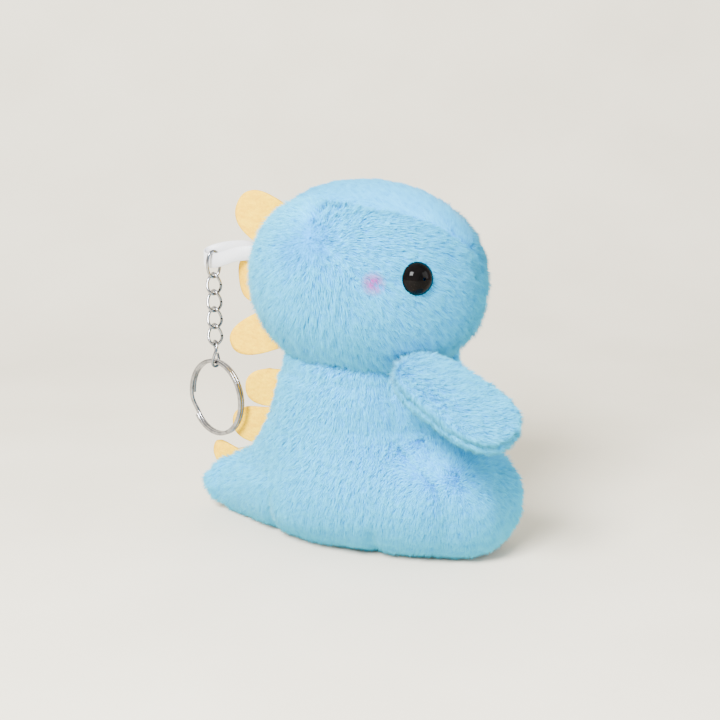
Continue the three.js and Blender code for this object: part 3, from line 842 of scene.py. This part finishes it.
def place_arm(points, side):
    """Turned by its roll, dip and splay, drooped as far as it hangs, and set at the shoulder."""
    pose = ARM_POSES[side]
    matrix = turn_about("z", pose["splay"]) @ turn_about("y", ARM_DIP) @ turn_about("x", -ARM_ROLL)
    matrix = turn_about("y", pose["droop"]) @ matrix
    placed = points @ matrix.T + pose["shoulder"]
    return placed if side == "left" else placed * [1, -1, 1]


# %% The arms' pieces
ARM_PILE = dict(PLAIN_PILE, count=27000, length=2.8, lean=1.2, width=0.25, tuft=2.4)
for side in ("left", "right"):
    local, faces, around, share = arm_skin()
    placed = place_arm(local, side)
    faces = outward(placed, faces)
    arm = make_piece(f"arm_{side}", placed, faces, backing)
    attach(arm, f"arm_{side}")
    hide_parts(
        f"arm_{side}_upper_panel", f"arm_{side}_lower_panel", f"arm_{side}_stuffing"
    )
    skin = skin_of(placed, faces)
    tipward = place_arm(local + [1, 0, 0], side) - placed
    outwards = place_arm(local + (local - [ARM_LENGTH / 2, 0, 0]) * [1, 1, 0], side) - placed
    flow = unit(tipward + 0.6 * unit(outwards))
    arm_uv = np.stack([around, share], 1)
    for layer, sign in (("upper", 1), ("lower", -1)):
        weight = (local[:, 2] * sign > 0.05).astype(float)
        layer_pile = grow_pile(
            f"arm_{side}_{layer}_pile", skin, flow, ARM_PILE, blue_pile, weight, arm_uv,
            31 + (side == "right") + 2 * (layer == "lower"),
        )
        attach(layer_pile, f"arm_{side}")

# %% [markdown]
# ## Felt spikes
# The spikes are two flat strips of felt with round lobes, sewn into the back seam. Felt is
# 1.4 mm thick with soft cut edges, and it keeps the curl it gets in the bag, so no two lobes
# stand quite alike. Each strip is one grid: along the seam, and from the seam out to the edge.

# %% The felt's surface
FELT = 1.4
HEAD_SPIKES = [
    dict(root=(-34, 102.4), tip=(-46.5, 109), width=17, curl=0.0),
    dict(root=(-38.2, 83.5), tip=(-49.5, 82.5), width=16, curl=5.0),
    dict(root=(-32, 67.6), tip=(-50, 60), width=14, curl=-0.5),
]
BACK_SPIKES = [
    dict(root=(-33.6, 46.3), tip=(-43.4, 45.9), width=13, curl=-2.5),
    dict(root=(-37.6, 32.4), tip=(-50.5, 32.4), width=13, curl=0.6),
    dict(root=(-50.3, 18.6), tip=(-59.8, 22), width=9, curl=3.0),
]


def lobe_outline(spike, steps=28):
    """Half of a rounded oval: how far along the seam and how far out, from side to side."""
    angle = np.linspace(0, np.pi, steps)
    side = -spike["width"] / 2 * rounded_power(np.cos(angle), 0.85)
    return side, np.sin(angle) ** 0.7


def felt_strip(spikes_data, rows=16, sewn=5.0):
    """
    Rows run from the sewn edge to the lobes' edge and columns along the strip. Both faces are
    the same grid, half the felt's thickness to either side, and the thickness rounds off at
    the cut edge. A lobe leans to one side by its curl times the square of its height.
    """
    middle = []
    for spike in spikes_data:
        root, tip = np.array(spike["root"]), np.array(spike["tip"])
        reach = np.linalg.norm(tip - root)
        out = (tip - root) / reach
        along = np.array([-out[1], out[0]])
        side, rise = lobe_outline(spike)
        height = np.linspace(0, 1, rows)[:, None]
        far = -sewn + (sewn + reach * rise[None]) * height
        spot = root + out * far[..., None] + along * (side[None, :, None])
        share = np.clip(far / reach, 0, None)
        y = spike["curl"] * share**2
        middle.append(np.stack([spot[..., 0], y, spot[..., 1]], -1))
    grid = np.concatenate(middle, 1)
    columns = grid.shape[1]
    half = FELT / 2 * np.sqrt(1 - np.linspace(0, 1, rows) ** 10 * 0.75)[:, None]
    half = half * np.ones((1, columns))
    half[:, [0, -1]] *= 0.5
    normal = unit(np.cross(
        np.gradient(grid, axis=0).reshape(-1, 3), np.gradient(grid, axis=1).reshape(-1, 3)
    )).reshape(grid.shape)
    front = grid + normal * half[..., None]
    back = grid - normal * half[..., None]
    points = np.concatenate([front.reshape(-1, 3), back.reshape(-1, 3)])
    sheet = grid_quads(rows, columns, closed=False)
    size = rows * columns
    ids = np.arange(size).reshape(rows, columns)
    rim = np.concatenate([ids[0], ids[1:, -1], ids[-1, -2::-1], ids[-2:0:-1, 0]])
    following = np.roll(rim, -1)
    edge = np.stack([rim, following, following + size, rim + size], 1)
    faces = np.concatenate([sheet, sheet[:, ::-1] + size, edge[:, ::-1]])
    return points, outward(points, faces), grid


def felt_finish():
    """Pressed fibres: two tones of fine noise, a coarser cloudiness, and a bump from the fine noise.
    """
    material, tree, shader = new_finish("yellow_felt", 0.95)
    shader.inputs["Specular IOR Level"].default_value = 0.1
    fine = noise_on_object(tree, 1400, 3.0)
    fibres = noise_on_object(tree, 420, 6.0, (1, 1, 2.2))
    colour = ramp(tree, fibres, [(0.3, (0.80, 0.44, 0.0)), (0.7, (0.95, 0.59, 0.0))])
    tone = ramp(tree, fine, [(0.3, (0.86, 0.84, 0.6)), (0.7, (1, 1, 1))])
    colour = mix_colours(tree, "MULTIPLY", 1.0, colour, tone)
    tree.links.new(colour, shader.inputs["Base Color"])
    relief = tree.nodes.new("ShaderNodeBump")
    relief.inputs["Strength"].default_value = 0.5
    relief.inputs["Distance"].default_value = 0.0003
    tree.links.new(fine, relief.inputs["Height"])
    tree.links.new(relief.outputs["Normal"], shader.inputs["Normal"])
    return material


yellow_felt = felt_finish()
# Each strip's own area is printed, in square millimetres.
for name, data in (("head_felt", HEAD_SPIKES), ("back_felt", BACK_SPIKES)):
    points, faces, grid = felt_strip(data)
    strip = make_piece(name, points, faces, yellow_felt)
    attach(strip, "plush")
    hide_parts(f"{name}_strip")
    quads = grid_quads(*grid.shape[:2], closed=False)
    area = np.linalg.norm(face_normals(grid.reshape(-1, 3), triangles_of(quads)), axis=1).sum() / 2
    print(name, "cloth area", round(area), "mm2")

# %% [markdown]
# ## Eyes
# A safety eye is a domed button of black plastic on a stem. Its finish is a clear gloss, so
# the lights show in it as soft windows.

# %% The eyes
EYE_RADIUS, EYE_RISE = 5.2, 4.4


def eye_dome(mirror):
    """A half ellipse turned about the eye's facing, with a rounded rim and a flat back."""
    angle = np.linspace(0, np.pi / 2, 16)
    back = [0.0, EYE_RADIUS * 0.9, EYE_RADIUS * 0.985]
    radius = np.concatenate([back, EYE_RADIUS * np.cos(angle)])
    height = np.concatenate([[-0.35, -0.35, -0.2], EYE_RISE * np.sin(angle)])
    turn = np.linspace(0, 2 * np.pi, 48, endpoint=False)
    side = unit(np.cross([[0, 0, 1.0]], [EYE_FACING]))[0]
    up = np.cross(EYE_FACING, side)
    ring = np.cos(turn)[:, None] * side + np.sin(turn)[:, None] * up
    points = EYE_CENTRE + radius[:, None, None] * ring + height[:, None, None] * EYE_FACING
    faces = grid_quads(len(radius), len(turn))
    flat, faces, _ = merged(points.reshape(-1, 3), faces)
    flat = flat * [1, mirror, 1]
    return flat, outward(flat, faces)


def eye_finish():
    """Glossy black plastic, and the faintest brown depth from place to place."""
    material, tree, shader = new_finish("black_plastic", 0.1)
    shader.inputs["Specular IOR Level"].default_value = 0.05
    blacks = [(0.3, (0.001, 0.001, 0.001)), (0.7, (0.004, 0.003, 0.003))]
    colour = ramp(tree, noise_on_object(tree, 300), blacks)
    tree.links.new(colour, shader.inputs["Base Color"])
    return material


black_plastic = eye_finish()
for side, mirror in (("left", 1), ("right", -1)):
    points, faces = eye_dome(mirror)
    eye = make_piece(f"eye_dome_{side}", points, faces, black_plastic)
    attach(eye, "plush")
    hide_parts(f"eye_{side}")

washer_plastic = cloth_finish("washer_plastic", (0.80, 0.80, 0.77), 200)
for side in ("left", "right"):
    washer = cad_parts[f"eye_washer_{side}"]
    for place in washer.material_slots:
        place.material = washer_plastic

# %% [markdown]
# ## Ribbon, chain and split ring
# The ribbon is a strap of white satin, sewn in at both ends, and its loop carries the first
# link. The links are bent from 1 mm plated wire, each a quarter turn from the next. The split
# ring is flat wire wound twice.

# %% Tubes along a path
RIBBON_HOOK = np.array([-56, -1.2, 88.5])
RIBBON_PATH = np.array([
    [-34.9, -0.36, 92.4], [-39, -0.5, 92.4], [-46, -1.8, 91.6], [-52, -2, 89.6], RIBBON_HOOK,
    [-60, 0.1, 88.4], [-61.9, 2.6, 89.2], [-60, 5, 90.5], [-54, 6.1, 92], [-46, 4.5, 92.8],
    [-39, 0.6, 92.4], [-34.9, 0.36, 92.4],
])


def sweep(centres, first_axis, second_axis, section, closed=False):
    """A section, given as pairs, carried along the centres on two axes at each of them."""
    section = np.array(section)
    points = (
        centres[:, None]
        + section[None, :, :1] * first_axis[:, None]
        + section[None, :, 1:] * second_axis[:, None]
    )
    rows, columns = points.shape[:2]
    if closed:
        faces = grid_quads(rows + 1, columns) % (rows * columns)
        return points.reshape(-1, 3), outward(points.reshape(-1, 3), faces)
    start = np.repeat(points[:1].mean(1, keepdims=True), columns, 1)
    end = np.repeat(points[-1:].mean(1, keepdims=True), columns, 1)
    points = np.concatenate([start, points, end])
    flat, faces, _ = merged(points.reshape(-1, 3), grid_quads(rows + 2, columns), 1e-4)
    return flat, outward(flat, faces)


def circle(radius, sides):
    """The corners of a round wire's section."""
    angle = np.linspace(0, 2 * np.pi, sides, endpoint=False)
    return np.stack([np.cos(angle), np.sin(angle)], 1) * radius


def resampled(path, count):
    """Points at even spacing along a smooth curve through the path."""
    level = np.linspace(0, 1, 1500)
    fine = np.stack([through(path[:, k], level) for k in range(3)], 1)
    travelled = np.concatenate([[0], np.cumsum(np.linalg.norm(np.diff(fine, axis=0), axis=1))])
    even = np.linspace(0, travelled[-1], count)
    return np.stack([np.interp(even, travelled, fine[:, k]) for k in range(3)], 1), travelled[-1]


def satin_finish():
    """Fine ribs across the ribbon, read from its own UV map, on a sheen that is nearly white."""
    material, tree, shader = new_finish("white_satin", 0.38, sheen=0.5)
    uv = tree.nodes.new("ShaderNodeUVMap")
    rib = tree.nodes.new("ShaderNodeTexWave")
    rib.inputs["Scale"].default_value = 40
    rib.inputs["Distortion"].default_value = 0.6
    tree.links.new(uv.outputs["UV"], rib.inputs["Vector"])
    colour = ramp(tree, rib.outputs["Fac"], [(0.0, (0.50, 0.51, 0.54)), (1.0, (0.66, 0.66, 0.69))])
    tree.links.new(colour, shader.inputs["Base Color"])
    relief = tree.nodes.new("ShaderNodeBump")
    relief.inputs["Strength"].default_value = 0.2
    relief.inputs["Distance"].default_value = 0.0001
    tree.links.new(rib.outputs["Fac"], relief.inputs["Height"])
    tree.links.new(relief.outputs["Normal"], shader.inputs["Normal"])
    return material


def steel_finish():
    """Bright nickel plating, with a roughness that changes a little where it has been handled."""
    material, tree, shader = new_finish("plated_steel", 0.2, metallic=1.0)
    worn = noise_on_object(tree, 500, 4.0)
    colour = ramp(tree, worn, [(0.3, (0.20, 0.20, 0.21)), (0.7, (0.38, 0.38, 0.40))])
    tree.links.new(colour, shader.inputs["Base Color"])
    rough = ramp(tree, worn, [(0.3, (0.24, 0.24, 0.24)), (0.7, (0.10, 0.10, 0.10))])
    tree.links.new(rough, shader.inputs["Roughness"])
    return material


white_satin = satin_finish()
plated_steel = steel_finish()

# %% The ribbon
RIBBON_WIDTH, RIBBON_THICKNESS = 5.0, 0.4
centres, ribbon_length = resampled(RIBBON_PATH, 90)
heading = unit(np.gradient(centres, axis=0))
across = unit(np.cross(heading, [[0, 0, 1.0]]))
upward = np.tile([0, 0, 1.0], (len(centres), 1))
half_width, half_thick = RIBBON_WIDTH / 2, RIBBON_THICKNESS / 2
section = [
    (-half_thick, -half_width + 0.1), (0, -half_width), (half_thick, -half_width + 0.1),
    (half_thick, 0), (half_thick, half_width - 0.1), (0, half_width),
    (-half_thick, half_width - 0.1), (-half_thick, 0),
]
points, faces = sweep(centres, across, upward, section)
along = np.linalg.norm(points[:, None] - centres[None], axis=2).argmin(1) / len(centres)
ribbon_uv = np.stack([along, (points[:, 2] - points[:, 2].min()) / 10], 1)
ribbon = make_piece("ribbon", points, faces, white_satin, ribbon_uv)
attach(ribbon, "ribbon")
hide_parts("ribbon_loop")
print("ribbon length", round(ribbon_length, 1), "mm")

# %% The chain links
WIRE = 1.0
LINK_WIDTH, CURB_LENGTH, END_LENGTH = 5.7, 8.2, 9.9
GAP = 0.3
RIBBON_LINK_HEADING, RING_TURN = 60.0, -17.0


def link_line(length, top, bottom, steps=72):
    """
    The middle of the wire: an oval, squarer than an ellipse, whose plane turns from the
    heading bottom at its lower bend to the heading top at its upper one.
    """
    angle = np.linspace(0.05, 2 * np.pi - 0.05, steps)
    rise = rounded_power(np.sin(angle), 0.9)
    heading = np.radians(bottom + (rise + 1) / 2 * (top - bottom))
    out = (LINK_WIDTH - WIRE) / 2 * rounded_power(np.cos(angle), 0.9)
    return np.stack(
        [out * np.cos(heading), out * np.sin(heading), (length - WIRE) / 2 * rise], 1
    )


def wire_tube(line, radius, sides=12):
    """A round section carried along the line, square to it everywhere."""
    heading = unit(np.gradient(line, axis=0))
    spoke = unit(line - line.mean(0))
    first = unit(spoke - heading * np.einsum("ij,ij->i", spoke, heading)[:, None])
    return sweep(line, first, np.cross(heading, first), circle(radius, sides))


links = [(END_LENGTH, RIBBON_LINK_HEADING, RIBBON_LINK_HEADING)]
links += [(CURB_LENGTH, RIBBON_LINK_HEADING - 90, RIBBON_LINK_HEADING)] * 4
links += [(END_LENGTH, RIBBON_LINK_HEADING + 90, RING_TURN + 90)]
top_wire = RIBBON_HOOK[2] + RIBBON_WIDTH / 2 + GAP + WIRE / 2
for number, (length, top, bottom) in enumerate(links, 1):
    line = link_line(length, top, bottom)
    line = line + [RIBBON_HOOK[0], RIBBON_HOOK[1], top_wire - (length - WIRE) / 2]
    points, faces = wire_tube(line, WIRE / 2)
    link = make_piece(f"link_{number}_wire", points, faces, plated_steel)
    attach(link, f"link_{number}")
    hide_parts(f"chain_link_{number}")
    top_wire += -(length - WIRE) + WIRE + GAP
last_bend = top_wire - WIRE - GAP
print("chain's last bend at", round(last_bend, 2), "mm")

# %% The split ring
RING_DIAMETER, RING_BAND, RING_COIL = 27.0, 1.4, 0.95


def split_ring(steps=260):
    """
    A rounded flat section wound twice round the ring's axis. The step from one turn to the
    next is an S-shaped rise between the wire's two ends.
    """
    share = np.linspace(0, 1, steps)
    angle = 18 + (702 - 18) * share
    turns = smoothstep(angle, 345, 375) - 0.5
    place = np.radians(angle + 200)
    radius = RING_DIAMETER / 2 - RING_BAND / 2
    outwards = np.stack([np.cos(place), 0 * place, np.sin(place)], 1)
    centre = outwards * radius + np.stack(
        [0 * turns, turns * (RING_COIL + GAP / 3), 0 * turns], 1
    )
    axis = np.tile([0, 1.0, 0], (steps, 1))
    a, b, r = RING_BAND / 2, RING_COIL / 2, 0.22
    section = [
        (-a + r, -b), (a - r, -b), (a - r * 0.3, -b + r * 0.3), (a, -b + r), (a, b - r),
        (a - r * 0.3, b - r * 0.3), (a - r, b), (-a + r, b), (-a + r * 0.3, b - r * 0.3),
        (-a, b - r), (-a, -b + r), (-a + r * 0.3, -b + r * 0.3),
    ]
    return sweep(centre, outwards, axis, section)


points, faces = split_ring()
ring_height = last_bend + WIRE / 2 + 2 * GAP - (RING_DIAMETER / 2 - RING_BAND)
points = points @ turn_about("z", RING_TURN).T + [RIBBON_HOOK[0], RIBBON_HOOK[1], ring_height]
ring = make_piece("split_ring_wire", points, faces, plated_steel)
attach(ring, "ring")
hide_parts("split_ring")

# %% [markdown]
# ## Floor and light
# A pale floor that sweeps up into the background, and a studio of large soft lamps: one high
# at the front, one weaker beyond the face, and a pale sky for the rest.

# %% The studio


def sweep_floor():
    """A sheet that is flat near the toy and curves up behind it as a quarter circle."""
    along = np.linspace(-2.6, 2.6, 61)
    travel = np.linspace(-2.6, 1.6, 170)
    bend, radius = 0.25, 0.30
    angle = np.clip((travel - bend) / radius, 0, np.pi / 2)
    depth = np.where(travel < bend, travel, bend + radius * np.sin(angle))
    rise = np.where(travel < bend, 0, radius * (1 - np.cos(angle)))
    rise += np.maximum(0, travel - bend - radius * np.pi / 2)
    away = np.array([-math.sin(AZIMUTH), math.cos(AZIMUTH), 0])
    side = np.array([math.cos(AZIMUTH), math.sin(AZIMUTH), 0])
    points = depth[:, None, None] * away + along[None, :, None] * side
    points = points + rise[:, None, None] * np.array([0, 0, 1.0])
    faces = grid_quads(len(travel), len(along), closed=False)
    return points.reshape(-1, 3) / MM, faces


def floor_finish():
    """A warm pale paper with the slightest mottling."""
    material, tree, shader = new_finish("pale_floor", 0.9)
    colour = ramp(
        tree, noise_on_object(tree, 14, 4.0), [(0.3, (0.68, 0.63, 0.51)), (0.7, (0.74, 0.69, 0.57))]
    )
    tree.links.new(colour, shader.inputs["Base Color"])
    return material


points, faces = sweep_floor()
if face_normals(points, triangles_of(faces))[0, 2] < 0:
    faces = faces[:, ::-1]
floor = make_piece("floor", points, faces, floor_finish())


def soft_lamp(name, place, size, power, colour=(1, 1, 1)):
    """A square area lamp that looks at the toy's middle; place is in metres."""
    data = bpy.data.lights.new(name, "AREA")
    data.size = size
    data.energy = power
    data.color = colour
    lamp = bpy.data.objects.new(name, data)
    bpy.context.scene.collection.objects.link(lamp)
    lamp.location = place
    lamp.rotation_euler = (Vector(place) - AIM).to_track_quat("Z", "Y").to_euler()
    return lamp


def pale_sky(strength):
    """An even white light from all round."""
    world = bpy.data.worlds.new("studio")
    world.use_nodes = True
    background = world.node_tree.nodes["Background"]
    background.inputs["Color"].default_value = (1.0, 1.0, 1.0, 1)
    background.inputs["Strength"].default_value = strength
    bpy.context.scene.world = world


soft_lamp("key", (0.0, -0.70, 0.62), 0.34, 41.0)
soft_lamp("fill", (0.8, 0.1, 0.35), 0.5, 5.0)
pale_sky(1.0)
